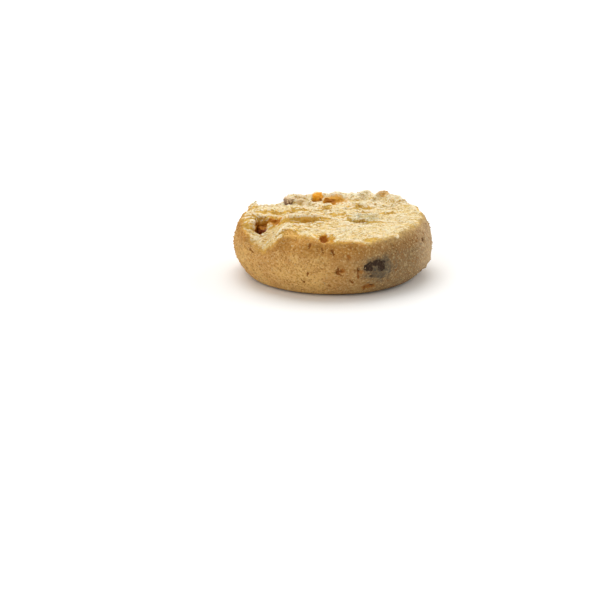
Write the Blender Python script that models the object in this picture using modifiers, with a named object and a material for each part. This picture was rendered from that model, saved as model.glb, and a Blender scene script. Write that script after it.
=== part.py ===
"""Salted caramel cookie: thick and round, with a browned, sugared side and a torn, crumbly top.

Caramel and dark chocolate pieces show in the dough. Metres, +Z up, front at -Y, with the origin
at the middle of the flat underside. Features are given in millimetres and scaled by MM.
"""

import math
from typing import NamedTuple

import bmesh
import bpy
import numpy as np
from mathutils import Euler, Matrix, Vector, noise

MM = 0.001

# Driving dimensions, in millimetres
THICKNESS = 14.1
GIRTH_RADIUS = 24.9
GIRTH_HEIGHT = 7.5
TOP_RADIUS = 23.3
BASE_RADIUS = 20.8

# The underside lies a little above the table and stands on a flat with four corners
UNDER_LEVEL = 0.15
FOOT_CORNERS = 4
FOOT_RADIUS = 19.4
FOOT_DEPTH = 1.0
FOOT_TURN = 32.0

# Fineness of the turned blank, in millimetres, and of the finished body
RING_SPACING = 0.5
TURN_STEPS = 288
UNDER_RINGS = 6
UNDER_MARGIN = 1.6
EDGE_SOFTENING = 3
BODY_TRIANGLES = 8600
MERGE_DISTANCE = 0.000001

# Slow swells of the outline: waves round the rim, size as a share of the radius, and turn
OUTLINE_WAVES = ((2, 0.006, 0.5), (3, 0.005, 2.1), (5, 0.004, 0.9), (9, 0.0025, 1.7))

# Share of the thickness where the relief of the top and of the side takes hold
TOP_FADE = (0.35, 0.96)
SIDE_FADE = (0.02, 0.22)
SIDE_START = (0.86, 0.97)

# Crumb lumps of the top and swells of the side: size of a lump, its height, and its seed offset
TOP_LUMPS = ((5.5, 0.42, 3.0), (2.3, 0.34, 11.0))
SIDE_LUMPS = ((6.5, 0.30, 23.0), (2.4, 0.14, 31.0))
RIM_BITES = (3.2, 0.55, 47.0)
RIM_BITE_WIDTH = 2.6
RAGGED_SIZE = 2.2
RAGGED_REACH = 0.55


class Ledge(NamedTuple):
    """A torn step in the top that faces the front: its foot runs from start to end."""

    start: tuple
    end: tuple
    rise: float
    run: float


class Swell(NamedTuple):
    """A rounded lump of the top, or with a negative height a hollow in it."""

    centre: tuple
    radii: tuple
    height: float


class Dent(NamedTuple):
    """A pit in the side at an angle from +X, or with a negative depth a bump on it."""

    angle: float
    level: float
    width: float
    height: float
    depth: float


class Piece(NamedTuple):
    """A chunk baked into the body: its middle, its half sizes and its turn in degrees."""

    centre: tuple
    radii: tuple
    turn: float


class Make(NamedTuple):
    """What chunks of one kind are like: how blocky (1 is round), how rough, and their seed."""

    blockiness: float
    rough: float
    seed: float


LEDGES = (
    Ledge((-13.4, -5.0), (-4.2, -4.9), 1.45, 7.0),
    Ledge((-4.4, -4.6), (-1.0, -1.4), 1.05, 6.0),
    Ledge((-1.4, 1.0), (6.4, 3.6), 0.45, 5.0),
    Ledge((-10.4, 5.0), (-6.9, 4.8), 0.85, 3.5),
    Ledge((-4.0, 5.6), (0.4, 5.4), 0.95, 4.5),
    Ledge((3.6, 9.0), (8.4, 9.0), 0.90, 5.0),
    Ledge((8.6, 11.6), (13.6, 11.0), 0.70, 4.5),
    Ledge((2.6, -2.6), (8.4, -4.6), 0.75, 5.0),
    Ledge((-8.6, 12.6), (-3.4, 11.2), 0.90, 3.0),
    Ledge((-2.2, 14.6), (2.6, 15.6), 0.90, 4.0),
    Ledge((12.6, 2.6), (16.8, 3.4), 0.50, 3.5),
    Ledge((16.4, 11.2), (20.4, 10.0), 0.50, 3.0),
    Ledge((2.0, -12.6), (9.0, -13.4), 0.45, 4.5),
    Ledge((-19.6, 3.4), (-15.8, 2.2), 0.80, 4.0),
    Ledge((9.4, 18.0), (15.0, 15.6), 0.55, 3.0),
)
LEDGE_WALL = 0.7
LEDGE_ENDS = 0.22
LEDGE_WANDER = 0.9

SWELLS = (
    Swell((-17.7, -2.6), (1.9, 3.0), -3.9),
    Swell((-14.2, -1.8), (2.0, 3.0), -1.5),
    Swell((-10.9, -14.6), (2.5, 4.0), 1.70),
    Swell((-10.6, -21.6), (3.6, 2.8), -0.90),
    Swell((-2.1, -18.8), (1.3, 3.4), -1.8),
    Swell((-0.6, -17.8), (1.3, 2.8), -0.7),
    Swell((-6.2, -18.0), (2.4, 2.6), 0.70),
    Swell((15.4, -17.4), (1.5, 1.4), 0.45),
    Swell((10.0, -20.5), (5.5, 3.0), -0.45),
    Swell((-20.6, 11.4), (2.5, 3.0), 1.20),
    Swell((-15.6, 16.4), (3.4, 3.0), -1.3),
    Swell((-5.6, 12.6), (1.5, 1.4), -1.3),
    Swell((-1.6, 8.4), (2.4, 2.2), 0.75),
    Swell((13.0, 18.4), (2.4, 2.3), 1.20),
    Swell((16.7, 16.0), (3.8, 3.4), 1.9),
    Swell((4.2, 21.4), (7.5, 3.6), 0.95),
    Swell((9.8, 20.4), (3.0, 2.6), 0.85),
    Swell((-6.4, 17.6), (5.4, 3.4), 0.75),
    Swell((20.0, 9.0), (3.4, 5.0), 0.80),
    Swell((9.0, -10.5), (5.5, 3.6), 0.25),
)

# The torn corner at the front left: its floor falls away to the left, in front of a wall.
# Towards the front its edge leans to the left and its floor gets steeper.
TEAR_RIGHT = -11.8
TEAR_BACK = -4.9
TEAR_LEAN = 0.10
TEAR_WALL = 1.5
TEAR_SLOPE = 0.42
TEAR_STEEPEN = 0.045
TEAR_DEPTH = 3.2
TEAR_LEFT = (-23.8, -19.4)

DENTS = (
    Dent(-65.0, 8.2, 3.4, 2.7, 0.22),
    Dent(-69.3, 6.4, 0.8, 0.7, 0.50),
    Dent(-69.6, 3.0, 2.4, 0.9, 0.30),
    Dent(-96.0, 13.4, 1.8, 1.9, 0.45),
    Dent(-97.0, 10.2, 0.6, 0.9, 0.35),
    Dent(-87.6, 6.2, 1.1, 0.6, 0.30),
    Dent(-103.5, 4.4, 0.7, 0.7, 0.25),
    Dent(-110.0, 9.0, 6.0, 3.0, -0.30),
    Dent(-22.0, 11.0, 1.2, 1.0, 0.45),
    Dent(-8.0, 4.2, 2.2, 1.3, -0.60),
    Dent(12.0, 9.4, 2.6, 1.6, 0.40),
    Dent(38.0, 6.0, 3.6, 2.4, -0.35),
    Dent(62.0, 10.6, 1.6, 1.4, 0.70),
    Dent(88.0, 7.2, 2.8, 2.0, 0.35),
    Dent(118.0, 4.6, 2.0, 1.6, 0.60),
    Dent(141.0, 9.8, 3.2, 2.0, -0.40),
    Dent(160.0, 6.6, 1.8, 1.5, 0.75),
    Dent(184.0, 10.2, 2.4, 1.7, 0.45),
    Dent(207.0, 5.2, 3.0, 2.2, -0.30),
    Dent(226.0, 8.6, 1.7, 1.4, 0.60),
)

CHOCOLATE = Make(0.72, 0.30, 1.0)
CHOCOLATE_CHUNKS = (
    Piece((-9.3, 15.2, 14.4), (2.9, 2.4, 1.5), 8.0),
    Piece((8.8, -1.8, 13.2), (2.4, 1.9, 1.1), -15.0),
    Piece((11.0, -21.5, 7.3), (3.4, 1.4, 2.4), 27.0),
    Piece((21.4, -2.2, 1.4), (0.8, 0.8, 0.7), 0.0),
    Piece((4.0, 23.2, 9.8), (2.1, 1.1, 1.5), 5.0),
    Piece((-22.8, 6.2, 7.4), (1.1, 2.0, 1.6), -15.0),
)
CARAMEL = Make(0.85, 0.26, 5.0)
CARAMEL_PIECES = (
    Piece((-3.9, 18.4, 14.4), (1.2, 1.7, 1.4), -20.0),
    Piece((0.5, 18.6, 14.2), (2.2, 2.3, 1.2), 15.0),
    Piece((13.1, 18.2, 15.0), (1.4, 1.5, 1.3), 40.0),
    Piece((-2.1, -18.8, 12.2), (1.0, 1.9, 0.8), 5.0),
    Piece((-17.7, -2.4, 9.9), (1.4, 1.9, 0.9), 15.0),
    Piece((16.2, 17.6, 5.6), (1.3, 1.2, 1.2), 47.0),
)
DOUGH = Make(1.0, 0.34, 9.0)
DOUGH_CRUMBS = (
    Piece((-20.6, 11.5, 15.1), (1.5, 1.4, 1.0), 30.0),
    Piece((22.6, -4.4, 3.0), (1.2, 1.1, 0.9), 60.0),
    Piece((-13.2, 6.4, 13.5), (1.7, 1.4, 1.0), 35.0),
)
PIECE_DETAIL = 2
PIECE_LUMP_SIZE = 0.8

DOUGH_COLOUR = (0.62, 0.43, 0.20, 1.0)
DOUGH_ROUGHNESS = 0.85


def ease(value: np.ndarray, low: float, high: float) -> np.ndarray:
    """Smooth rise from 0 at low to 1 at high."""
    share = np.clip((value - low) / (high - low), 0.0, 1.0)
    return share * share * (3.0 - 2.0 * share)


def lumps(points: np.ndarray, size: float, seed: float) -> np.ndarray:
    """Soft random field between about -1 and 1, with lumps of the given size in millimetres."""
    offset = Vector((seed, -seed, seed))
    return np.array([noise.noise(Vector(point) / size + offset) for point in points])


def side_radius(height: np.ndarray) -> np.ndarray:
    """Radius of the side at a height: widest at the girth, drawn in above and below it."""
    above = (GIRTH_RADIUS - TOP_RADIUS) * ((height - GIRTH_HEIGHT) / (THICKNESS - GIRTH_HEIGHT)) ** 2
    below = (GIRTH_RADIUS - BASE_RADIUS) * ((GIRTH_HEIGHT - height) / GIRTH_HEIGHT) ** 2
    return GIRTH_RADIUS - np.where(height > GIRTH_HEIGHT, above, below)


def half_section() -> np.ndarray:
    """Half section of the blank, from the middle of the top down the side to the underside."""
    top = np.linspace(0.0, TOP_RADIUS, round(TOP_RADIUS / RING_SPACING))
    heights = np.linspace(THICKNESS, UNDER_LEVEL, round(THICKNESS / RING_SPACING))[1:]
    foot = np.arange(BASE_RADIUS - RING_SPACING, BASE_RADIUS - UNDER_MARGIN, -RING_SPACING)
    radii = np.concatenate([top, side_radius(heights), foot])
    levels = np.concatenate([np.full(len(top), THICKNESS), heights, np.full(len(foot), UNDER_LEVEL)])
    section = np.column_stack([radii, levels])
    for _ in range(EDGE_SOFTENING):
        section[1:-1] = (section[:-2] + 2.0 * section[1:-1] + section[2:]) / 4.0
    under = np.linspace(section[-1, 0], 0.0, UNDER_RINGS)[1:]
    return np.vstack([section, np.column_stack([under, np.full(len(under), UNDER_LEVEL)])])


def make_blank(name: str) -> bpy.types.Object:
    """Turns the half section into a closed disc of dough."""
    section = half_section()
    mesh = bpy.data.meshes.new(name)
    points = [(radius * MM, 0.0, level * MM) for radius, level in section]
    mesh.from_pydata(points, [(i, i + 1) for i in range(len(points) - 1)], [])
    blank = bpy.data.objects.new(name, mesh)
    screw = blank.modifiers.new("Turn", "SCREW")
    screw.steps = TURN_STEPS
    screw.render_steps = TURN_STEPS
    screw.use_merge_vertices = True
    screw.merge_threshold = MERGE_DISTANCE
    screw.use_normal_calculate = True
    return blank


def apply_modifiers(obj: bpy.types.Object) -> None:
    """Replaces an object's mesh by its evaluated mesh and clears its modifiers."""
    bpy.context.view_layer.update()
    evaluated = obj.evaluated_get(bpy.context.evaluated_depsgraph_get())
    mesh = bpy.data.meshes.new_from_object(evaluated)
    mesh.name = obj.name
    obj.modifiers.clear()
    obj.data = mesh


def ledge_height(ledge: Ledge, x: np.ndarray, y: np.ndarray, wander: np.ndarray) -> np.ndarray:
    """Height that a torn ledge adds: a short wall at its foot, sloping away behind it."""
    start, end = np.array(ledge.start), np.array(ledge.end)
    length = np.linalg.norm(end - start)
    along_x, along_y = (end - start) / length
    along = ((x - start[0]) * along_x + (y - start[1]) * along_y) / length
    behind = (y - start[1]) * along_x - (x - start[0]) * along_y + wander
    ends = ease(along, -LEDGE_ENDS, LEDGE_ENDS) * ease(along, 1.0 + LEDGE_ENDS, 1.0 - LEDGE_ENDS)
    return ledge.rise * ends * ease(behind, 0.0, LEDGE_WALL) * ease(behind, ledge.run, LEDGE_WALL)


def swell_height(swell: Swell, x: np.ndarray, y: np.ndarray) -> np.ndarray:
    """Height that a rounded lump adds, or that a hollow takes away."""
    across = (x - swell.centre[0]) / swell.radii[0]
    deep = (y - swell.centre[1]) / swell.radii[1]
    return swell.height * ease(np.hypot(across, deep), 1.25, 0.25)


def tear_height(x: np.ndarray, y: np.ndarray, wander: np.ndarray) -> np.ndarray:
    """Height that the torn corner takes away, in front of its wall and to the left of its edge."""
    forward = np.maximum(TEAR_BACK - y, 0.0)
    right = TEAR_RIGHT - TEAR_LEAN * forward
    slope = TEAR_SLOPE + TEAR_STEEPEN * forward
    fall = np.clip(slope * (right - x), 0.0, TEAR_DEPTH)
    in_front = ease(y + wander, TEAR_BACK + TEAR_WALL, TEAR_BACK)
    return -fall * in_front * ease(x, *TEAR_LEFT)


def top_relief(points: np.ndarray) -> np.ndarray:
    """Height of the torn, crumbly top above its mean level."""
    x, y = points[:, 0], points[:, 1]
    flat = points * np.array([1.0, 1.0, 0.0])
    wander = LEDGE_WANDER * lumps(flat, 3.0, 5.0)
    relief = sum(height * lumps(flat, size, seed) for size, height, seed in TOP_LUMPS)
    relief = relief + sum(ledge_height(ledge, x, y, wander) for ledge in LEDGES)
    relief = relief + sum(swell_height(swell, x, y) for swell in SWELLS)
    relief = relief + tear_height(x, y, wander)
    size, depth, seed = RIM_BITES
    near_rim = ease(np.hypot(x, y), TOP_RADIUS - RIM_BITE_WIDTH, TOP_RADIUS)
    return relief - near_rim * depth * (0.5 + lumps(flat, size, seed))


def side_relief(points: np.ndarray) -> np.ndarray:
    """How far the side stands out from the turned blank."""
    x, y, z = points.T
    angle = np.degrees(np.arctan2(y, x))
    relief = sum(height * lumps(points, size, seed) for size, height, seed in SIDE_LUMPS)
    for dent in DENTS:
        turn = (angle - dent.angle + 180.0) % 360.0 - 180.0
        across = np.radians(turn) * GIRTH_RADIUS / dent.width
        up = (z - dent.level) / dent.height
        relief = relief - dent.depth * ease(np.hypot(across, up), 1.2, 0.2)
    return relief


def shape_dough(points: np.ndarray) -> np.ndarray:
    """Moves the points of the turned blank, in millimetres, to where the baked dough has them."""
    x, y, z = points.T
    radius = np.hypot(x, y)
    angle = np.arctan2(y, x)
    level = z / THICKNESS
    swell = 1.0 + sum(size * np.cos(waves * angle - turn) for waves, size, turn in OUTLINE_WAVES)
    on_side = ease(level, *SIDE_FADE) * ease(radius / side_radius(z), *SIDE_START)
    on_top = ease(level, *TOP_FADE)
    ragged = RAGGED_REACH * lumps(points, RAGGED_SIZE, 61.0) * ease(level, 0.8, 1.0)
    out = swell + on_side * (side_relief(points) + ragged) / np.maximum(radius, RING_SPACING)
    shaped = np.column_stack([x * out, y * out, z])
    shaped[:, 2] += on_top * top_relief(shaped)
    return shaped


def make_body(name: str) -> bpy.types.Object:
    """The dough: the blank, shaped, with its triangles then kept where the relief needs them."""
    body = make_blank(name)
    bpy.context.scene.collection.objects.link(body)
    apply_modifiers(body)
    count = len(body.data.vertices)
    points = np.empty(count * 3)
    body.data.vertices.foreach_get("co", points)
    shaped = shape_dough(points.reshape(count, 3) / MM) * MM
    body.data.vertices.foreach_set("co", shaped.ravel())
    body.data.update()
    triangulate(body)
    decimate = body.modifiers.new("Lighten", "DECIMATE")
    decimate.ratio = BODY_TRIANGLES / len(body.data.polygons)
    apply_modifiers(body)
    return body


def triangulate(obj: bpy.types.Object) -> None:
    """Splits an object's faces into triangles."""
    cage = bmesh.new()
    cage.from_mesh(obj.data)
    bmesh.ops.triangulate(cage, faces=cage.faces)
    cage.to_mesh(obj.data)
    cage.free()


def make_piece(name: str, piece: Piece, make: Make, seed: float) -> bpy.types.Object:
    """A rough chunk: a ball made blocky, pushed in and out by a random field, sized and turned."""
    cage = bmesh.new()
    bmesh.ops.create_icosphere(cage, subdivisions=PIECE_DETAIL, radius=1.0)
    for vert in cage.verts:
        field = noise.noise(vert.co / PIECE_LUMP_SIZE + Vector((seed, 0.0, seed)))
        blocky = [math.copysign(abs(value) ** make.blockiness, value) for value in vert.co]
        vert.co = Vector(blocky) * (1.0 + make.rough * field)
    place = Matrix.LocRotScale(
        Vector(piece.centre) * MM,
        Euler((0.0, 0.0, math.radians(piece.turn))),
        Vector(piece.radii) * MM,
    )
    bmesh.ops.transform(cage, matrix=place, verts=cage.verts)
    mesh = bpy.data.meshes.new(name)
    cage.to_mesh(mesh)
    cage.free()
    return bpy.data.objects.new(name, mesh)


def make_foot(name: str) -> bpy.types.Object:
    """The flat that the cookie stands on: a thin slab of dough that reaches up into the body."""
    cage = bmesh.new()
    place = Matrix.LocRotScale(
        Vector((0.0, 0.0, FOOT_DEPTH / 2.0)) * MM,
        Euler((0.0, 0.0, math.radians(FOOT_TURN))),
        None,
    )
    bmesh.ops.create_cone(
        cage,
        cap_ends=True,
        segments=FOOT_CORNERS,
        radius1=FOOT_RADIUS * MM,
        radius2=FOOT_RADIUS * MM,
        depth=FOOT_DEPTH * MM,
        matrix=place,
    )
    mesh = bpy.data.meshes.new(name)
    cage.to_mesh(mesh)
    cage.free()
    return bpy.data.objects.new(name, mesh)


def add_pieces(inclusions: bpy.types.Collection) -> None:
    """Makes the foot and every chunk of chocolate, caramel and dough in the collection."""
    inclusions.objects.link(make_foot("foot"))
    kinds = (
        ("chocolate", CHOCOLATE, CHOCOLATE_CHUNKS),
        ("caramel", CARAMEL, CARAMEL_PIECES),
        ("dough", DOUGH, DOUGH_CRUMBS),
    )
    for kind, make, pieces in kinds:
        for index, piece in enumerate(pieces):
            chunk = make_piece(f"{kind}_{index + 1}", piece, make, make.seed + index)
            inclusions.objects.link(chunk)


def bake_in(body: bpy.types.Object, inclusions: bpy.types.Collection) -> None:
    """Joins every piece of the collection to the body in one solid, and removes the pieces."""
    union = body.modifiers.new("Bake in", "BOOLEAN")
    union.operation = "UNION"
    union.operand_type = "COLLECTION"
    union.collection = inclusions
    union.solver = "EXACT"
    apply_modifiers(body)
    for obj in list(inclusions.objects):
        bpy.data.objects.remove(obj)
    bpy.data.collections.remove(inclusions)


def dough_material() -> bpy.types.Material:
    """Pale golden shortcrust."""
    material = bpy.data.materials.new("golden_dough")
    material.use_nodes = True
    shader = material.node_tree.nodes["Principled BSDF"]
    shader.inputs["Base Color"].default_value = DOUGH_COLOUR
    shader.inputs["Roughness"].default_value = DOUGH_ROUGHNESS
    shader.inputs["Metallic"].default_value = 0.0
    return material


def clear_scene() -> None:
    """Removes the objects that the scene starts with."""
    for obj in list(bpy.data.objects):
        bpy.data.objects.remove(obj)


def main() -> None:
    """Makes the cookie in a collection of its own."""
    clear_scene()
    parts = bpy.data.collections.new("salted_caramel_cookie")
    inclusions = bpy.data.collections.new("inclusions")
    bpy.context.scene.collection.children.link(parts)
    bpy.context.scene.collection.children.link(inclusions)
    body = make_body("cookie")
    add_pieces(inclusions)
    bake_in(body, inclusions)
    bpy.context.scene.collection.objects.unlink(body)
    parts.objects.link(body)
    body.data.materials.clear()
    body.data.materials.append(dough_material())
    body.data.shade_smooth()


main()
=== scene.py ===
"""The looks of one salted caramel cookie: thick, round, browned and sugared, torn across its top.

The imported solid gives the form. The dough is a finer copy of it with crumb, ledges, pores and
cracks cut into its surface. Caramel, chocolate, loose crumbs and sugar grains are pieces of
their own. Lengths are metres unless a name ends in _mm.
"""

import logging
import math
from dataclasses import asdict, dataclass
from enum import Enum
from typing import Any

import bmesh
import bpy
import numpy as np
from mathutils import Euler, Matrix, Vector, noise


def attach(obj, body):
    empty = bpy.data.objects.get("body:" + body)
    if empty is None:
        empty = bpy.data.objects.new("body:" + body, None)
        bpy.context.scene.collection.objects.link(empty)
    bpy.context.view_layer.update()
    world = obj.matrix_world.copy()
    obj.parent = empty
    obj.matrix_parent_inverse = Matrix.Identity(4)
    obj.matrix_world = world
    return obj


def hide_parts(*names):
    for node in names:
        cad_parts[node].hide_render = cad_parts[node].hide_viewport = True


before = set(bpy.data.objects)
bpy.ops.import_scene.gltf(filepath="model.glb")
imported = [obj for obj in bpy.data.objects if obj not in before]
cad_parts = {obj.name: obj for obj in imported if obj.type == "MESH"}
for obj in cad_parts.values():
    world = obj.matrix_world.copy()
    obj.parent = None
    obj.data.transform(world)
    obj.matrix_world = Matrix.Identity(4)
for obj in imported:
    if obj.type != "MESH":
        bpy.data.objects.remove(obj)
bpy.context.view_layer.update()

BODY = "root"
NODE = "cookie"
MM = 0.001
PER_MM = 1.0 / MM
WELD = MM / 1000.0

log = logging.getLogger("cookie")


class Slot(Enum):
    """The record's material slots."""

    DOUGH = "dough"
    CARAMEL = "caramel"
    CHOCOLATE = "chocolate"
    SUGAR = "sugar"


class Mask(Enum):
    """Values stored on the dough's points, each from 0 to 1, that its finish reads."""

    SKIN = "skin"
    STAIN = "stain"
    BLOOM = "bloom"
    # How much painted shade darkens pits, cracks and hollows
    PORE = "pore"
    CHIP = "chip"
    # Where the finish paints golden shade on steep and front-facing slopes
    SLOPE = "slope_shade"
    RELIEF = "relief"
    TONE = "tone"
    # The two levels set painted ochre shade in recesses and painted highlight on crests
    FINE_LEVEL = "fine_level"
    BROAD_LEVEL = "broad_level"


@dataclass(frozen=True)
class Value:
    """An output socket of a node tree, with the arithmetic that is used on it."""

    graph: "Graph"
    socket: bpy.types.NodeSocket

    def __add__(self, other: Any) -> "Value":
        """Sum of the two."""
        return self.graph.math("ADD", self, other)

    __radd__ = __add__

    def __sub__(self, other: Any) -> "Value":
        """This less the other."""
        return self.graph.math("SUBTRACT", self, other)

    def __rsub__(self, other: Any) -> "Value":
        """The other less this."""
        return self.graph.math("SUBTRACT", other, self)

    def __mul__(self, other: Any) -> "Value":
        """Product of the two."""
        return self.graph.math("MULTIPLY", self, other)

    __rmul__ = __mul__

    def __truediv__(self, other: Any) -> "Value":
        """This divided by the other."""
        return self.graph.math("DIVIDE", self, other)

    def __rtruediv__(self, other: Any) -> "Value":
        """The other divided by this."""
        return self.graph.math("DIVIDE", other, self)


class Graph:
    """Builds the nodes of one shader or geometry tree."""

    def __init__(self, tree: bpy.types.NodeTree) -> None:
        """Keeps the tree.

        Args:
            tree: the node tree that every node goes into.
        """
        self.tree = tree

    def add(
        self, kind: str, settings: dict | None = None, values: dict | None = None
    ) -> bpy.types.Node:
        """Adds any node.

        Args:
            kind: the node's type, such as ShaderNodeTexNoise.
            settings: attributes of the node, set before its sockets.
            values: a link or a plain value for each named or numbered input.

        Returns:
            The new node.
        """
        node = self.tree.nodes.new(kind)
        for name, value in (settings or {}).items():
            setattr(node, name, value)
        for key, value in (values or {}).items():
            self.feed(node.inputs[key], value)
        return node

    def feed(self, target: bpy.types.NodeSocket, value: Any) -> None:
        """Links a socket to an input, or sets the input's own value.

        Args:
            target: the input.
            value: a value, a socket or a plain number, text or vector.
        """
        if isinstance(value, Value):
            self.tree.links.new(value.socket, target)
        elif isinstance(value, bpy.types.NodeSocket):
            self.tree.links.new(value, target)
        else:
            target.default_value = value

    def out(self, node: bpy.types.Node, name: str | int = 0) -> Value:
        """One output of a node as a value."""
        return Value(self, node.outputs[name])

    def math(self, operation: str, *values: Any) -> Value:
        """A Math node on values."""
        node = self.add("ShaderNodeMath", {"operation": operation}, dict(enumerate(values)))
        return self.out(node)

    def vector(self, operation: str, *values: Any) -> Value:
        """A Vector Math node."""
        node = self.add("ShaderNodeVectorMath", {"operation": operation}, dict(enumerate(values)))
        return self.out(node)

    def scaled(self, vector: Value, factor: Any) -> Value:
        """A vector times a number."""
        node = self.add("ShaderNodeVectorMath", {"operation": "SCALE"}, {0: vector, "Scale": factor})
        return self.out(node)

    def parts(self, vector: Value) -> tuple[Value, Value, Value]:
        """The X, Y and Z of a vector."""
        node = self.add("ShaderNodeSeparateXYZ", None, {0: vector})
        return self.out(node, "X"), self.out(node, "Y"), self.out(node, "Z")

    def ramp(
        self, value: Any, low: float, high: float, to_low: float = 0.0, to_high: float = 1.0
    ) -> Value:
        """A smooth rise from to_low at low to to_high at high.

        Args:
            value: the number that is mapped.
            low: where the rise starts.
            high: where it ends.
            to_low: the result below low.
            to_high: the result above high.

        Returns:
            The mapped number.
        """
        flipped = low > high
        inputs = {"Value": value, "From Min": min(low, high), "From Max": max(low, high)}
        inputs["To Min"] = to_high if flipped else to_low
        inputs["To Max"] = to_low if flipped else to_high
        node = self.add("ShaderNodeMapRange", {"interpolation_type": "SMOOTHSTEP"}, inputs)
        return self.out(node)

    def noise(
        self, place: Value, per_mm: Any, detail: float = 3.0, rough: float = 0.55
    ) -> Value:
        """Soft noise between 0 and 1.

        Args:
            place: the point, in millimetres.
            per_mm: lumps in one millimetre.
            detail: octaves of finer noise.
            rough: how strong the finer noise is.

        Returns:
            The noise at the point.
        """
        values = {"Vector": place, "Scale": per_mm, "Detail": detail, "Roughness": rough}
        return self.out(self.add("ShaderNodeTexNoise", {"noise_dimensions": "3D"}, values), 0)

    def warped(self, place: Value, per_mm: float, reach_mm: float) -> Value:
        """A point pushed by a noise with that many lumps in a millimetre, as far as the reach."""
        push = self.add("ShaderNodeTexNoise", None, {"Vector": place, "Scale": per_mm})
        return self.vector("ADD", place, self.scaled(self.out(push, "Color"), reach_mm))

    def cells(self, place: Value, per_mm: Any, feature: str = "F1") -> bpy.types.Node:
        """Random cells, as a Voronoi texture of the given feature."""
        values = {"Vector": place, "Scale": per_mm}
        return self.add("ShaderNodeTexVoronoi", {"feature": feature}, values)


class Modelling(Graph):
    """A tree of geometry nodes that changes a mesh, with named inputs."""

    def __init__(self, name: str, inputs: dict[str, Any]) -> None:
        """Starts the tree.

        Args:
            name: the tree's name.
            inputs: each input's name and value; a whole number makes an integer socket.
        """
        super().__init__(bpy.data.node_groups.new(name, "GeometryNodeTree"))
        self.tree.is_modifier = True
        sockets = self.tree.interface
        sockets.new_socket("Geometry", in_out="INPUT", socket_type="NodeSocketGeometry")
        self.settings = {}
        for label, value in inputs.items():
            kind = "NodeSocketInt" if isinstance(value, int) else "NodeSocketFloat"
            socket = sockets.new_socket(label, in_out="INPUT", socket_type=kind)
            self.settings[socket.identifier] = value
        sockets.new_socket("Geometry", in_out="OUTPUT", socket_type="NodeSocketGeometry")
        self.source = self.add("NodeGroupInput")

    def given(self, name: str) -> Value:
        """One of the tree's named inputs."""
        return self.out(self.source, name)

    def stored(self, mask: Mask) -> Value:
        """A value stored on the points."""
        node = self.add("GeometryNodeInputNamedAttribute", {"data_type": "FLOAT"}, {"Name": mask.value})
        return self.out(node, "Attribute")

    def finish(self, geometry: bpy.types.NodeSocket) -> None:
        """Gives the tree its result."""
        self.add("NodeGroupOutput", None, {0: geometry})

    def run(self, piece: bpy.types.Object) -> None:
        """Sends a piece's mesh through the tree and keeps the result as a plain mesh.

        Args:
            piece: the object that is changed.
        """
        modifier = piece.modifiers.new(self.tree.name, "NODES")
        modifier.node_group = self.tree
        for identifier, value in self.settings.items():
            modifier[identifier] = value
        settle(piece)


class Shader(Graph):
    """The tree of one material."""

    def __init__(self, name: str) -> None:
        """Starts a material.

        Args:
            name: the material's name.
        """
        self.material = bpy.data.materials.new(name)
        self.material.use_nodes = True
        super().__init__(self.material.node_tree)
        self.surface = self.tree.nodes["Principled BSDF"]

    def place_mm(self) -> Value:
        """Object coordinates in millimetres."""
        return self.scaled(self.out(self.add("ShaderNodeTexCoord"), "Object"), PER_MM)

    def mask(self, mask: Mask) -> Value:
        """A value stored on the surface."""
        node = self.add("ShaderNodeAttribute", {"attribute_name": mask.value})
        return self.out(node, "Fac")

    def mixed(self, factor: Any, first: Any, second: Any, blend: str = "MIX") -> Value:
        """Two colours mixed.

        Args:
            factor: share of the second colour.
            first: a colour or a link.
            second: a colour or a link.
            blend: how they are mixed.

        Returns:
            The mixed colour.
        """
        settings = {"data_type": "RGBA", "blend_type": blend, "clamp_factor": True}
        return self.out(self.add("ShaderNodeMix", settings, {0: factor, 6: first, 7: second}), 2)

    def bump(self, height: Value, strength: float, distance_mm: float) -> Value:
        """A normal from a height."""
        values = {"Height": height, "Strength": strength, "Distance": distance_mm * MM}
        return self.out(self.add("ShaderNodeBump", None, values))

    def set(self, **values: Any) -> None:
        """Sets or links inputs of the surface, with underscores for spaces in their names."""
        for name, value in values.items():
            self.feed(self.surface.inputs[name.replace("_", " ")], value)


def rgb(red: float, green: float, blue: float) -> tuple[float, float, float, float]:
    """A colour as a node takes it, from its screen values.

    Args:
        red: from 0 to 255, as are the others.
        green: the second.
        blue: the third.

    Returns:
        Red, green and blue as light levels, and full cover.
    """

    def linear(level: float) -> float:
        """Light level of one screen value."""
        share = level / 255.0
        return share / 12.92 if share <= 0.04045 else ((share + 0.055) / 1.055) ** 2.4

    return (linear(red), linear(green), linear(blue), 1.0)


def ease(value: np.ndarray, low: float, high: float) -> np.ndarray:
    """Smooth rise from 0 at low to 1 at high."""
    share = np.clip((value - low) / (high - low), 0.0, 1.0)
    return share * share * (3.0 - 2.0 * share)


def field(points_mm: np.ndarray, size_mm: float, seed: float) -> np.ndarray:
    """Soft random field between about -1 and 1, with lumps of the given size."""
    offset = Vector((seed, -seed, seed))
    return np.array([noise.noise(Vector(point) / size_mm + offset) for point in points_mm])


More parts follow.
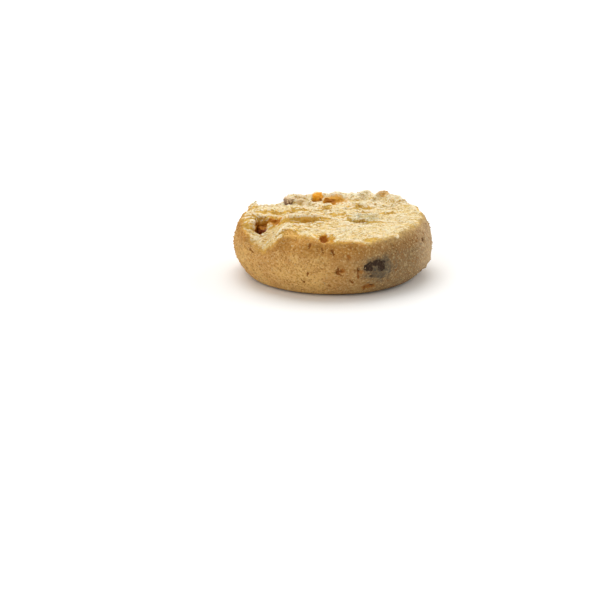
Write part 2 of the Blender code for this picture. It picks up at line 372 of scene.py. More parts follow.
@dataclass(frozen=True)
class DoughFinish:
    """Baked shortcrust: pale torn crumb, golden-brown skin, pores, stains and chocolate bloom, with
    painted shade on slopes, in recesses, pits and cracks, below the rim and on the right, and painted
    highlight on crests, the left shoulder and the far right.
    """

    crumb: tuple = rgb(226, 212, 176)
    crumb_yellow: tuple = rgb(228, 198, 124)
    # Random pale flecks, and painted highlight on crests
    crumb_pale_fleck_and_crest_highlight: tuple = rgb(240, 229, 204)
    crumb_fleck: tuple = rgb(218, 186, 114)
    # Painted golden shade on slopes
    crumb_slope: tuple = rgb(220, 178, 84)
    # Painted ochre shade in recesses
    crumb_recess_shade: tuple = rgb(196, 150, 62)
    skin: tuple = rgb(215, 171, 102)
    skin_brown: tuple = rgb(197, 149, 87)
    # Right side: uneven browning and painted shade
    skin_right_browning_and_shade: tuple = rgb(130, 107, 77)
    # Painted light at the far right
    skin_far_right_painted_light: tuple = rgb(179, 155, 122)
    skin_edge: tuple = rgb(206, 158, 76)
    # Right end of the edge: uneven browning and painted shade
    skin_edge_right_browning_and_shade: tuple = rgb(184, 152, 98)
    # Painted shade below the rim
    skin_below_rim_shade: tuple = rgb(174, 120, 48)
    # Left shoulder: golden browning and painted highlight
    skin_shoulder_gold_and_highlight: tuple = rgb(236, 188, 106)
    # Dark brown flecks, and painted shade in pits and cracks
    pore: tuple = rgb(136, 84, 34)
    stain: tuple = rgb(156, 88, 10)
    stain_pale: tuple = rgb(206, 148, 50)
    stain_skin: tuple = rgb(164, 106, 46)
    bloom_crumb: tuple = rgb(204, 212, 218)
    bloom_skin: tuple = rgb(76, 74, 66)
    chip: tuple = rgb(56, 38, 26)
    chip_dust: tuple = rgb(118, 102, 80)
    glint: tuple = rgb(238, 210, 152)

    def material(self) -> bpy.types.Material:
        """Builds the dough's material.

        Returns:
            The finished material.
        """
        shader = Shader("baked_dough")
        place = shader.place_mm()
        across, _, up = shader.parts(place)
        streaked = shader.vector("MULTIPLY", place, (0.4, 1.0, 1.0))
        patches = shader.noise(place, 0.10, 3.0, 0.6)
        mottle = shader.noise(streaked, 0.6, 4.0, 0.6)
        fleck = shader.noise(place, 1.9, 4.0, 0.75)
        grain = shader.noise(place, 3.4, 3.0, 0.7)
        tint = self.tint(shader, shader.cells(place, 2.9))
        frayed = (fleck - 0.5) * 0.8 + (mottle - 0.5) * 0.5 + (tint - 0.5) * 0.25
        skin = shader.mask(Mask.SKIN) + frayed
        streaks = shader.noise(streaked, 0.28, 3.0, 0.6)
        crumb = self.crumb_colour(shader, streaks, mottle, fleck, tint)
        crust = self.skin_colour(shader, across, up, patches, fleck, tint)
        crust = self.pored(shader, place, crust)
        # The edge between crumb and skin turns greyer to the right: uneven browning and painted shade
        edge = shader.mixed(shader.ramp(across, 0.0, 14.0), self.skin_edge, self.skin_edge_right_browning_and_shade)
        colour = shader.mixed(shader.ramp(skin, 0.05, 0.5), crumb, edge)
        colour = shader.mixed(shader.ramp(skin, 0.4, 1.0), colour, crust)
        greyed = shader.mixed(1.0, colour, self.bloom_crumb, "MULTIPLY")
        bloom_colour = shader.mixed(skin, greyed, self.bloom_skin)
        cloudy = shader.ramp(fleck, 0.62, 0.38, 0.6, 1.0) * shader.ramp(mottle, 0.62, 0.4, 0.75, 1.0)
        colour = shader.mixed(shader.mask(Mask.BLOOM) * cloudy, colour, bloom_colour)
        stain = shader.mask(Mask.STAIN)
        thin = shader.mixed(skin, self.stain_pale, self.stain_skin)
        melt = shader.mixed(shader.ramp(stain + (mottle - 0.5) * 0.6, 0.45, 0.85), thin, self.stain)
        colour = shader.mixed(shader.ramp(stain + (fleck - 0.5) * 0.3, 0.08, 0.5), colour, melt)
        chip = shader.mask(Mask.CHIP) + (fleck - 0.5) + (mottle - 0.5) * 0.5
        chip = shader.ramp(chip, 0.28, 0.60)
        chip_colour = shader.mixed(shader.ramp(grain, 0.5, 0.7, 0.0, 0.6), self.chip, self.chip_dust)
        colour = shader.mixed(chip, colour, chip_colour)
        # Painted shade in pits, cracks and hollows
        pore = shader.ramp(shader.mask(Mask.PORE) + (grain - 0.5) * 0.5, 0.2, 0.7)
        colour = shader.mixed(pore, colour, self.pore)
        height = grain * 0.7 + fleck + mottle * 0.4
        wet = shader.ramp(stain, 0.3, 0.8)
        shader.set(
            Base_Color=colour,
            Roughness=shader.ramp(grain, 0.2, 0.8, 0.75, 0.95) - wet * 0.25 - chip * 0.3,
            Normal=shader.bump(height, 0.75, 0.26),
            Subsurface_Weight=0.15,
            Subsurface_Radius=(1.0, 0.6, 0.3),
            Subsurface_Scale=0.001,
            Specular_IOR_Level=0.1,
        )
        return shader.material

    def tint(self, shader: Shader, cells: bpy.types.Node) -> Value:
        """A number of its own for each cell."""
        return shader.out(shader.add("ShaderNodeSeparateColor", None, {0: cells.outputs["Color"]}), 0)

    def crumb_colour(
        self, shader: Shader, streaks: Value, mottle: Value, fleck: Value, tint: Value
    ) -> Value:
        """Colour of the torn crumb: yellow streaks and flecks, painted highlight on crests, painted
        golden shade on slopes and painted ochre shade in recesses.

        Args:
            shader: the tree.
            streaks: broad noise, drawn out from side to side.
            mottle: the same, finer.
            fleck: fine noise.
            tint: a number for each grain.

        Returns:
            The colour.
        """
        fine, broad = shader.mask(Mask.FINE_LEVEL), shader.mask(Mask.BROAD_LEVEL)
        slope_shade = shader.mask(Mask.SLOPE) + (fleck - 0.5) * 0.3
        colour = shader.mixed(shader.ramp(mottle, 0.46, 0.64, 0.0, 0.75), self.crumb, self.crumb_yellow)
        colour = shader.mixed(shader.ramp(streaks, 0.50, 0.62, 0.0, 0.55), colour, self.crumb_fleck)
        colour = shader.mixed(shader.ramp(fleck, 0.5, 0.68, 0.0, 0.6), colour, self.crumb_pale_fleck_and_crest_highlight)
        colour = shader.mixed(shader.ramp(tint, 0.5, 1.0, 0.0, 0.35), colour, self.crumb_pale_fleck_and_crest_highlight)
        colour = shader.mixed(shader.ramp(fleck, 0.48, 0.30, 0.0, 0.7), colour, self.crumb_fleck)
        colour = shader.mixed(shader.ramp(tint, 0.45, 0.0, 0.0, 0.5), colour, self.crumb_fleck)
        # Painted golden shade on slopes
        colour = shader.mixed(shader.ramp(slope_shade, 0.05, 0.5, 0.0, 0.95), colour, self.crumb_slope)
        # Painted ochre shade in recesses
        low, sunk = shader.ramp(broad, 0.46, 0.2), shader.ramp(fine, 0.46, 0.2, 0.0, 0.8)
        deep = shader.math("MAXIMUM", low, sunk)
        colour = shader.mixed(deep, colour, self.crumb_recess_shade)
        # Painted highlight on crests
        return shader.mixed(shader.ramp(fine, 0.54, 0.8, 0.0, 0.8), colour, self.crumb_pale_fleck_and_crest_highlight)

    def skin_colour(
        self, shader: Shader, across: Value, up: Value, patches: Value, fleck: Value, tint: Value
    ) -> Value:
        """Colour of the browned skin: uneven browning, pale and dark grains, painted shade below the
        rim and on the right side, which is partly browner, painted light at the far right and painted
        highlight on the golden left shoulder.

        Args:
            shader: the tree.
            across: how far to the right, in millimetres.
            up: how high, in millimetres.
            patches: broad noise.
            fleck: fine noise.
            tint: a number for each grain.

        Returns:
            The colour.
        """
        level = up + (patches - 0.5) * 4.0
        colour = shader.mixed(shader.ramp(patches, 0.38, 0.62), self.skin, self.skin_brown)
        # Painted shade: a darker band below the rim, greyer to the right
        rim = shader.mixed(shader.ramp(across, 4.0, 18.0, 0.0, 0.6), self.skin_below_rim_shade, self.skin_right_browning_and_shade)
        # Greyer and darker to the right: uneven browning and painted shade
        colour = shader.mixed(shader.ramp(across, -4.0, 17.0, 0.0, 0.95), colour, self.skin_right_browning_and_shade)
        colour = shader.mixed(shader.ramp(level, 9.5, 12.5, 0.0, 0.75), colour, rim)
        # Painted light at the far right
        colour = shader.mixed(shader.ramp(across, 19.0, 24.0, 0.0, 0.8), colour, self.skin_far_right_painted_light)
        # Golden and lighter high on the left shoulder: browning and painted highlight
        high = shader.ramp(level, 13.7, 14.9, 0.0, 0.9) * shader.ramp(across, 8.0, -6.0)
        colour = shader.mixed(high, colour, self.skin_shoulder_gold_and_highlight)
        colour = shader.mixed(shader.ramp(tint, 0.4, 0.0, 0.0, 0.58), colour, self.pore)
        colour = shader.mixed(shader.ramp(tint, 0.6, 1.0, 0.0, 0.3), colour, self.glint)
        colour = shader.mixed(shader.ramp(fleck, 0.46, 0.28, 0.0, 0.78), colour, self.pore)
        return shader.mixed(shader.ramp(fleck, 0.55, 0.76, 0.0, 0.35), colour, self.glint)

    def pored(self, shader: Shader, place: Value, colour: Value) -> Value:
        """Darkens the skin at scattered pores: brown dots that paint the shade of their holes.

        Args:
            shader: the tree.
            place: the point, in millimetres.
            colour: the skin's colour.

        Returns:
            The colour with the pores in it.
        """
        holes = shader.cells(shader.warped(place, 1.3, 1.6), 0.6)
        edge = shader.out(holes, "Distance") - self.tint(shader, holes) * 0.20
        return shader.mixed(shader.ramp(edge, 0.06, -0.06, 0.0, 0.75), colour, self.pore)


@dataclass(frozen=True)
class CaramelFinish:
    """Melted caramel: amber, darker where it is deep, softly glossy."""

    bright: tuple = rgb(238, 172, 40)
    deep: tuple = rgb(130, 62, 10)

    def material(self) -> bpy.types.Material:
        """Builds the caramel's material.

        Returns:
            The finished material.
        """
        shader = Shader("amber_caramel")
        place = shader.place_mm()
        cloud = shader.noise(place, 0.7, 4.0, 0.6)
        fine = shader.noise(place, 4.0, 2.0)
        tone = shader.mask(Mask.TONE) + (cloud - 0.5) * 1.2
        colour = shader.mixed(shader.ramp(tone, 0.2, 0.85), self.deep, self.bright)
        shader.set(
            Base_Color=colour,
            Roughness=shader.ramp(fine, 0.3, 0.7, 0.35, 0.6),
            Normal=shader.bump(cloud + fine * 0.3, 0.4, 0.12),
            Specular_IOR_Level=0.35,
            Subsurface_Weight=0.2,
            Subsurface_Radius=(1.0, 0.4, 0.1),
            Subsurface_Scale=0.0012,
        )
        return shader.material


@dataclass(frozen=True)
class ChocolateFinish:
    """Dark chocolate with a dull grey bloom and dough dust."""

    dark: tuple = rgb(114, 78, 52)
    bloom: tuple = rgb(218, 192, 154)

    def material(self) -> bpy.types.Material:
        """Builds the chocolate's material.

        Returns:
            The finished material.
        """
        shader = Shader("bloomed_chocolate")
        place = shader.place_mm()
        cloud = shader.noise(place, 1.5, 5.0, 0.7)
        fine = shader.noise(place, 5.0, 3.0)
        tone = shader.mask(Mask.TONE) + (cloud - 0.5) * 3.0 + (fine - 0.5) * 0.8
        colour = shader.mixed(shader.ramp(tone, 0.35, 0.95), self.dark, self.bloom)
        shader.set(
            Base_Color=colour,
            Roughness=shader.ramp(cloud, 0.3, 0.7, 0.45, 0.8),
            Normal=shader.bump(cloud + fine * 0.4, 0.5, 0.15),
        )
        return shader.material


@dataclass(frozen=True)
class SugarFinish:
    """Clear sugar crystals, a little cloudy."""

    clear: tuple = rgb(212, 180, 124)
    cloudy: tuple = rgb(196, 156, 94)

    def material(self) -> bpy.types.Material:
        """Builds the sugar's material.

        Returns:
            The finished material.
        """
        shader = Shader("sugar_crystal")
        place = shader.place_mm()
        cloud = shader.noise(place, 2.0, 2.0)
        shader.set(
            Base_Color=shader.mixed(cloud, self.clear, self.cloudy),
            Roughness=shader.ramp(cloud, 0.3, 0.7, 0.3, 0.6),
            Transmission_Weight=0.2,
            IOR=1.5,
        )
        return shader.material


def merged_copy(source: bpy.types.Object, name: str) -> bpy.types.Object:
    """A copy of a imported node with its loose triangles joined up.

    Args:
        source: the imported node.
        name: the new object's name.

    Returns:
        The new object, in the scene.
    """
    cage = bmesh.new()
    cage.from_mesh(source.data)
    bmesh.ops.remove_doubles(cage, verts=cage.verts, dist=WELD)
    mesh = bpy.data.meshes.new(name)
    cage.to_mesh(mesh)
    cage.free()
    copy = bpy.data.objects.new(name, mesh)
    bpy.context.scene.collection.objects.link(copy)
    return copy


def settle(obj: bpy.types.Object) -> None:
    """Makes an object's evaluated mesh its own and clears its modifiers.

    Args:
        obj: the object.
    """
    bpy.context.view_layer.update()
    graph = bpy.context.evaluated_depsgraph_get()
    mesh = bpy.data.meshes.new_from_object(obj.evaluated_get(graph))
    mesh.name = obj.name
    obj.modifiers.clear()
    obj.data = mesh


def read_points(mesh: bpy.types.Mesh, what: str = "co") -> np.ndarray:
    """Points or normals of a mesh.

    Args:
        mesh: the mesh.
        what: co for its points, normal for their normals.

    Returns:
        One row for each point.
    """
    count = len(mesh.vertices)
    values = np.empty(count * 3, np.float32)
    if what == "co":
        mesh.vertices.foreach_get("co", values)
    else:
        mesh.vertex_normals.foreach_get("vector", values)
    return values.reshape(count, 3).astype(float)


def write_points(mesh: bpy.types.Mesh, points: np.ndarray) -> None:
    """Moves a mesh's points."""
    mesh.vertices.foreach_set("co", points.astype(np.float32).ravel())
    mesh.update()


def write_mask(mesh: bpy.types.Mesh, mask: Mask, values: np.ndarray) -> None:
    """Stores a value from 0 to 1 on each point."""
    store = mesh.attributes.new(mask.value, "FLOAT", "POINT")
    store.data.foreach_set("value", np.clip(values, 0.0, 1.0).astype(np.float32))


# The dough's form, in millimetres and degrees
SIDE_RADIUS = 24.6
REACH_THROUGH = 2.5
RIGHT_TURN = -38.0
RIGHT_SPREAD = 36.0
RIM_RADIUS = 24.3
RIM_LEVEL = 14.5

# A patch is full inside its core and gone past its rim, as shares of its half sizes
PATCH_CORE = 0.45
PATCH_RIM = 1.15
PATCH_FRAY = 0.35

# The level that grains are coloured for, between 0 in a recess and 1 on a crest; it sets their painted
# recess shade and crest highlight
GRAIN_LEVEL = 0.58


@dataclass(frozen=True)
class Spot:
    """A patch of the dough in millimetres, with what it does to the points that it covers.

    Attributes:
        centre: its middle.
        radii: its half sizes along the axes.
        depth: how far it presses the surface in.
        stain: how much caramel colours it.
        bloom: how grey a chocolate piece under it makes it.
        crumb: how much it bares the crumb.
        pore: how much painted shade darkens it, as in a pit, a crack or a hollow.
        chip: how much a chocolate piece shows through it.
    """

    centre: tuple
    radii: tuple
    depth: float = 0.0
    stain: float = 0.0
    bloom: float = 0.0
    crumb: float = 0.0
    pore: float = 0.0
    chip: float = 0.0

    def cover(self, points_mm: np.ndarray, ragged: np.ndarray) -> np.ndarray:
        """How much the patch covers each point, from 0 to 1.

        Args:
            points_mm: the points.
            ragged: a random field that frays the patch's edge.

        Returns:
            The share for each point.
        """
        away = np.linalg.norm((points_mm - np.array(self.centre)) / np.array(self.radii), axis=1)
        return ease(away + PATCH_FRAY * ragged, PATCH_RIM, PATCH_CORE)


@dataclass(frozen=True)
class Crack:
    """A thin split in the side, in millimetres.

    Attributes:
        start: where it starts, as an angle in degrees and a height.
        end: where it ends.
        width: half of its width.
        depth: how far it goes in.
        pore: how dark it is.
        bend: how far it wanders, as a share of its width.
        core: share of its width that has its full depth.
    """

    start: tuple
    end: tuple
    width: float = 0.32
    depth: float = 0.22
    # pore: how much painted shade darkens it.
    pore: float = 0.8
    bend: float = 0.9
    core: float = 0.25

    def cover(self, points_mm: np.ndarray, ragged: np.ndarray) -> np.ndarray:
        """How much the crack covers each point, from 0 to 1.

        Args:
            points_mm: the points.
            ragged: a random field that bends the crack.

        Returns:
            The share for each point.
        """
        ends = []
        for angle, level in (self.start, self.end):
            turn = math.radians(angle)
            ends.append(np.array((SIDE_RADIUS * math.cos(turn), SIDE_RADIUS * math.sin(turn), level)))
        along = ends[1] - ends[0]
        share = np.clip((points_mm - ends[0]) @ along / (along @ along), 0.0, 1.0)
        nearest = ends[0] + share[:, None] * along
        offset = points_mm - nearest
        outward = np.array((ends[0][0], ends[0][1], 0.0)) / SIDE_RADIUS
        flat = offset - np.outer(offset @ outward, outward)
        away = np.linalg.norm(flat, axis=1) + self.bend * self.width * ragged
        near = np.abs(offset @ outward) < REACH_THROUGH
        return ease(away, self.width, self.core * self.width) * near


# Where the skin gives way to torn crumb: angle in degrees and distance from the middle
SKIN_EDGE = (
    (-160.0, 22.8),
    (-137.0, 23.4),
    (-125.4, 23.4),
    (-122.8, 19.5),
    (-118.0, 19.1),
    (-112.0, 20.9),
    (-99.0, 21.3),
    (-85.0, 22.8),
    (-58.0, 22.8),
    (-40.0, 22.1),
    (-20.0, 21.7),
    (10.0, 23.2),
    (60.0, 23.4),
    (150.0, 22.2),
)


def toward_right(points_mm: np.ndarray) -> np.ndarray:
    """How near each point is to the front right, from 0 to 1."""
    turn = np.degrees(np.arctan2(points_mm[:, 1], points_mm[:, 0])) - RIGHT_TURN
    return np.exp(-((((turn + 180.0) % 360.0) - 180.0) / RIGHT_SPREAD) ** 2)


def in_tear(points_mm: np.ndarray) -> np.ndarray:
    """How far each point lies in the torn hollow at the front left, from 0 to 1."""
    return ease(points_mm[:, 0], -11.0, -13.0) * ease(points_mm[:, 1], -3.5, -6.0)


def at_back(points_mm: np.ndarray) -> np.ndarray:
    """How far each point lies at the back, from 0 to 1."""
    return ease(points_mm[:, 1], 6.0, 13.0)


# The pore values paint shade in pits, cracks and hollows
SPOTS = (
    Spot((-17.7, -2.0, 11.4), (2.6, 3.4, 3.0), 0.6, stain=1.0, pore=0.2),
    Spot((-14.1, -1.8, 13.0), (3.0, 3.3, 2.4), stain=0.72),
    # Greys and browns the torn face at the front left: a tan torn surface, and partly a painted shadow
    Spot((-16.6, -11.6, 12.0), (5.2, 7.0, 4.0), stain=0.17, bloom=0.4),
    Spot((-2.3, -18.4, 13.2), (1.6, 3.9, 2.2), 0.3, stain=0.85, crumb=0.9),
    Spot((-0.4, -19.4, 13.8), (1.8, 3.2, 2.0), 0.3, stain=0.5, pore=0.3, crumb=0.9),
    # Painted shade deep in the front pit
    Spot((-2.7, -20.4, 12.4), (1.6, 2.2, 1.1), pore=0.62),
    # Darkens and browns the skin along the front rim
    Spot((5.6, -21.9, 13.9), (6.8, 1.9, 1.7), stain=0.19, pore=0.26),
    # Painted shade below the long ledge, in caramel colour
    Spot((-6.2, -4.9, 14.2), (2.4, 1.5, 1.4), stain=0.27),
    Spot((-6.5, -6.8, 14.5), (6.5, 2.4, 2.4), 0.34),
    Spot((0.6, -22.6, 12.8), (2.4, 1.4, 0.9), stain=0.2),
    Spot((-20.4, 10.8, 15.6), (3.0, 3.2, 3.0), 0.15, crumb=1.0),
    Spot((-17.2, 12.6, 15.4), (3.2, 3.6, 2.4), 0.9),
    Spot((1.0, 16.2, 14.9), (3.7, 2.9, 1.8), stain=0.45),
    Spot((0.2, 14.6, 14.6), (3.2, 2.2, 1.6), stain=0.75),
    Spot((-4.1, 15.4, 14.8), (2.0, 1.5, 1.5), 0.6, stain=0.6),
    Spot((13.2, 18.3, 15.8), (2.1, 1.9, 1.3), -0.1, crumb=0.5),
    Spot((13.4, 18.0, 16.0), (2.6, 2.4, 1.4), stain=0.31),
    Spot((16.6, 15.8, 14.0), (1.9, 1.1, 1.3), 0.35, stain=0.5),
    Spot((8.6, -1.0, 14.4), (3.6, 6.2, 2.2), bloom=1.0),
    Spot((7.2, -3.4, 14.2), (1.3, 2.6, 1.4), 0.35, stain=0.15, pore=0.45),
    # Painted shade in a soft wedge on the top
    Spot((4.6, -4.2, 14.4), (3.2, 1.3, 1.5), 0.15, pore=0.24),
    Spot((5.2, -3.6, 14.0), (2.0, 2.0, 1.4), 0.15, bloom=0.6),
    Spot((-8.0, 13.6, 15.4), (3.6, 3.4, 2.2), bloom=0.3, stain=0.2),
    Spot((11.3, -22.6, 7.2), (5.4, 5.2, 3.6), bloom=1.0),
    Spot((8.6, -23.5, 7.9), (1.35, 1.4, 1.0), 0.1, chip=1.0),
    Spot((10.6, -22.7, 8.9), (2.5, 2.0, 0.75), 0.1, chip=1.0),
    Spot((11.7, -22.6, 7.8), (1.35, 1.5, 1.35), 0.1, chip=1.0),
    Spot((9.3, -23.2, 5.7), (0.5, 0.6, 0.4), 0.2, chip=0.8),
    Spot((8.4, -21.2, 2.5), (2.4, 1.8, 1.15), 0.25, stain=0.42, pore=0.4),
    Spot((9.4, -21.0, 2.8), (0.9, 0.9, 0.6), 0.25, chip=0.45),
    Spot((6.9, -23.8, 6.9), (0.9, 0.8, 0.7), 0.1, stain=0.38),
    Spot((2.4, -24.5, 7.4), (0.9, 0.9, 0.8), 0.12, stain=0.6),
    Spot((3.9, -24.0, 10.6), (0.7, 0.7, 0.9), 0.15, stain=0.5),
    Spot((6.2, -23.9, 7.7), (0.4, 0.6, 0.5), 0.45, pore=1.0),
    Spot((15.0, -19.4, 4.0), (0.45, 0.5, 0.45), 0.25, pore=0.6),
    Spot((15.4, -19.2, 6.1), (0.35, 0.4, 0.4), 0.2, pore=0.6),
    Spot((15.3, -19.2, 10.3), (0.5, 0.5, 0.45), 0.2, pore=0.5),
    Spot((22.4, -9.0, 11.0), (0.7, 0.8, 0.6), 0.35, pore=0.8),
    Spot((-10.0, -21.6, 12.8), (0.7, 0.6, 0.5), 0.25, pore=0.5),
    Spot((15.4, -16.4, 13.9), (0.9, 1.1, 0.9), -0.35, crumb=1.0, stain=0.1),
    Spot((3.6, 24.0, 9.8), (3.8, 3.0, 2.9), bloom=0.95),
    Spot((4.2, 24.0, 10.0), (1.5, 1.6, 1.0), 0.1, chip=1.0),
    Spot((2.4, 24.0, 8.8), (0.9, 1.6, 0.7), 0.1, chip=1.0),
    Spot((-23.4, 6.2, 7.4), (2.6, 3.4, 2.8), bloom=0.95),
    Spot((-23.6, 6.3, 7.6), (1.6, 1.1, 1.3), 0.1, chip=1.0),
    Spot((17.2, 18.2, 5.6), (1.6, 1.6, 1.3), stain=0.9),
)
# Their dark colour is painted shade in the splits
CRACKS = (
    Crack((-103.6, 13.5), (-103.9, 12.5)),
    Crack((-96.4, 12.6), (-95.4, 11.7)),
    Crack((-90.4, 12.2), (-88.9, 11.0)),
    Crack((-104.0, 6.7), (-104.5, 5.9)),
    Crack((-108.4, 4.9), (-106.9, 3.9)),
    Crack((-87.0, 8.0), (-88.0, 7.2)),
    Crack((-88.0, 7.2), (-85.0, 6.0)),
    Crack((-86.6, 7.4), (-84.2, 7.1)),
    Crack((-75.8, 7.2), (-75.4, 5.4)),
    Crack((-80.4, 5.0), (-78.4, 4.0)),
    Crack((-70.2, 2.4), (-70.4, 0.4)),
    Crack((24.0, 9.8), (27.0, 8.2)),
    Crack((71.0, 6.0), (77.0, 5.0)),
    Crack((77.0, 5.0), (79.0, 3.4)),
    Crack((131.0, 11.0), (134.0, 9.2)),
    Crack((172.0, 5.6), (175.0, 3.6)),
    Crack((212.0, 9.6), (216.0, 9.0)),
)


@dataclass
class Dough:
    """The baked dough: everything but the caramel, chocolate, sugar and loose crumbs.

    Attributes:
        voxel_mm: size of its small faces.
        smooth_rounds: how often the solid's facets are evened out.
        bend_mm: radius of the rim's shoulder.
        right_bend_mm: what the front right adds to it.
        rim_pull: share of the solid's rim that the shoulder takes off.
        fine_span_mm: height between the lowest and the highest fine level.
        broad_span_mm: the same for the broad level.
        back_painted_light: what the back adds to both levels.
        border_rounds: how often the surface is evened out before its underside is looked for.
        level_rounds: the same for the fine level, a face's tilt, the broad level and the lie.
    """

    voxel_mm: float = 0.27
    smooth_rounds: int = 6
    bend_mm: float = 1.5
    right_bend_mm: float = 3.2
    rim_pull: float = 0.75
    fine_span_mm: float = 0.25
    broad_span_mm: float = 1.4
    # Lifting both levels at the back paints light onto the back of the top
    back_painted_light: float = 0.16
    border_rounds: int = 40
    level_rounds: tuple = (6, 9, 60, 180)

    def build(self) -> bpy.types.Object:
        """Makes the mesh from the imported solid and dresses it.

        Returns:
            The finished dough.
        """
        self.piece = merged_copy(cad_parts[NODE], "dough")
        self.refine()
        self.mark()
        self.relieve()
        self.mark_levels()
        self.piece.data.materials.clear()
        self.piece.data.materials.append(DoughFinish().material())
        self.piece.data.shade_smooth()
        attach(self.piece, BODY)
        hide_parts(NODE)
        return self.piece

    def refine(self) -> None:
        """Rebuilds the solid's surface in small even faces and takes its facets away."""
        remesh = self.piece.modifiers.new("Even faces", "REMESH")
        remesh.mode = "VOXEL"
        remesh.voxel_size = self.voxel_mm * MM
        smooth = self.piece.modifiers.new("No facets", "SMOOTH")
        smooth.factor = 0.5
        smooth.iterations = self.smooth_rounds
        settle(self.piece)

    def mark(self) -> None:
        """Presses in the named pits and cracks, and stores the masks of the form."""
        mesh = self.piece.data
        points, normals = read_points(mesh) * PER_MM, read_points(mesh, "normal")
        ragged = field(points, size_mm=1.5, seed=7.0) + 0.6 * field(points, size_mm=0.6, seed=9.0)
        sums = {name: np.zeros(len(points)) for name in ("stain", "bloom", "crumb", "pore", "chip")}
        sunk = np.zeros(len(points))
        points -= self.shoulder(points)
        for spot in SPOTS:
            cover = spot.cover(points, ragged)
            sunk += spot.depth * cover
            for name, total in sums.items():
                np.maximum(total, getattr(spot, name) * cover, out=total)
        for crack in CRACKS:
            cover = crack.cover(points, ragged)
            sunk += crack.depth * cover
            np.maximum(sums["pore"], crack.pore * cover, out=sums["pore"])
        write_points(mesh, (points - normals * sunk[:, None]) * MM)
        skin = self.skin(points, ragged) * (1.0 - sums["crumb"])
        steep = ease(read_points(mesh, "normal")[:, 2], 0.75, 0.35)
        calm = (1.0 - 0.2 * in_tear(points)) * (1.0 - 0.6 * steep)
        write_mask(mesh, Mask.SKIN, skin)
        write_mask(mesh, Mask.RELIEF, ease(skin, 0.9, 0.3) * calm)
        write_mask(mesh, Mask.STAIN, sums["stain"])
        write_mask(mesh, Mask.BLOOM, sums["bloom"])
        write_mask(mesh, Mask.PORE, sums["pore"])
        write_mask(mesh, Mask.CHIP, sums["chip"])

    def shoulder(self, points: np.ndarray) -> np.ndarray:
        """How far each point of the rim is drawn in, to a shoulder that is broadest at the right.

        Args:
            points: the dough's points in millimetres.

        Returns:
            The moves to take off the points, in millimetres.
        """
        x, y, z = points.T
        radius = np.maximum(np.hypot(x, y), 1.0)
        bend = self.bend_mm + self.right_bend_mm * toward_right(points)
        out = np.maximum(radius - RIM_RADIUS + bend, 0.0)
        up = np.maximum(z - RIM_LEVEL + bend, 0.0)
        away = np.maximum(np.hypot(out, up), 0.001)
        pull = self.rim_pull * np.maximum(away - bend, 0.0) / away * (out > 0.0) * (up > 0.0)
        return np.column_stack([x / radius * out, y / radius * out, up]) * pull[:, None]

    def skin(self, points: np.ndarray, ragged: np.ndarray) -> np.ndarray:
        """Where the dough has its browned skin: the side, the underside and the shoulder.

        Args:
            points: the dough's points in millimetres.
            ragged: a random field that frays the skin's edge.

        Returns:
            From 0 on bare crumb to 1 on skin.
        """
        ((_, normals),) = self.smoothed(self.border_rounds)
        radius = np.hypot(points[:, 0], points[:, 1])
        turn = np.degrees(np.arctan2(points[:, 1], points[:, 0]))
        border = np.interp(turn + 2.0 * ragged, *zip(*SKIN_EDGE), period=360.0) + 0.35 * ragged
        blur = 0.9 + 1.0 * toward_right(points)
        side = ease(radius, border - blur, border + blur)
        low = ease(points[:, 2] + 0.4 * ragged, 9.6, 8.6) * ease(radius, 19.0, 21.5)
        under = ease(normals[:, 2], -0.2, -0.6)
        return np.maximum(np.maximum(side, low), under)

    def smoothed(self, *rounds: int) -> list[tuple[np.ndarray, np.ndarray]]:
        """Points and normals of the dough's surface with its relief smoothed away.

        Args:
            rounds: how many times each point moves to the mean of its neighbours, in rising order.

        Returns:
            For each of the rounds the smoothed points, in metres, and their normals.
        """
        mesh = self.piece.data.copy()
        points = read_points(mesh)
        edges = np.empty(len(mesh.edges) * 2, np.int32)
        mesh.edges.foreach_get("vertices", edges)
        first, second = edges.reshape(-1, 2).T
        start, end = np.concatenate([first, second]), np.concatenate([second, first])
        count = np.bincount(start, minlength=len(points))
        results = []
        for done in range(1, rounds[-1] + 1):
            for axis in range(3):
                mean = np.bincount(start, points[end, axis], len(points)) / np.maximum(count, 1)
                points[:, axis] = 0.5 * (points[:, axis] + mean)
            if done in rounds:
                write_points(mesh, points)
                results.append((points.copy(), read_points(mesh, "normal")))
        bpy.data.meshes.remove(mesh)
        return results

    def relieve(self) -> None:
        """Cuts the crumb of the top and the pores of the side with a tree of geometry nodes."""
        CrumbRelief().tree().run(self.piece)

    def mark_levels(self) -> None:
        """Stores how high each point stands above its near and its wider surroundings, with the back
        lifted as painted light, and where painted golden shade falls on the slopes.
        """
        mesh = self.piece.data
        points = read_points(mesh)
        back = at_back(points * PER_MM)
        near, (_, faces), wide, (_, lie) = self.smoothed(*self.level_rounds)
        levels = (
            (Mask.FINE_LEVEL, near, self.fine_span_mm),
            (Mask.BROAD_LEVEL, wide, self.broad_span_mm),
        )
        for mask, (soft, normals), span_mm in levels:
            height_mm = ((points - soft) * normals).sum(axis=1) * PER_MM
            write_mask(mesh, mask, 0.5 + height_mm / span_mm + self.back_painted_light * back)
        # Painted golden shade on steep faces and on faces that turn from the lie, less at the back and
        # in the tear
        bent = ease((faces * lie).sum(axis=1), 0.988, 0.83)
        tilted = ease(faces[:, 2], 0.975, 0.82)
        lit = (1.0 - 0.85 * back) * (1.0 - 0.8 * in_tear(points * PER_MM))
        write_mask(mesh, Mask.SLOPE, np.maximum(bent, tilted) * lit)


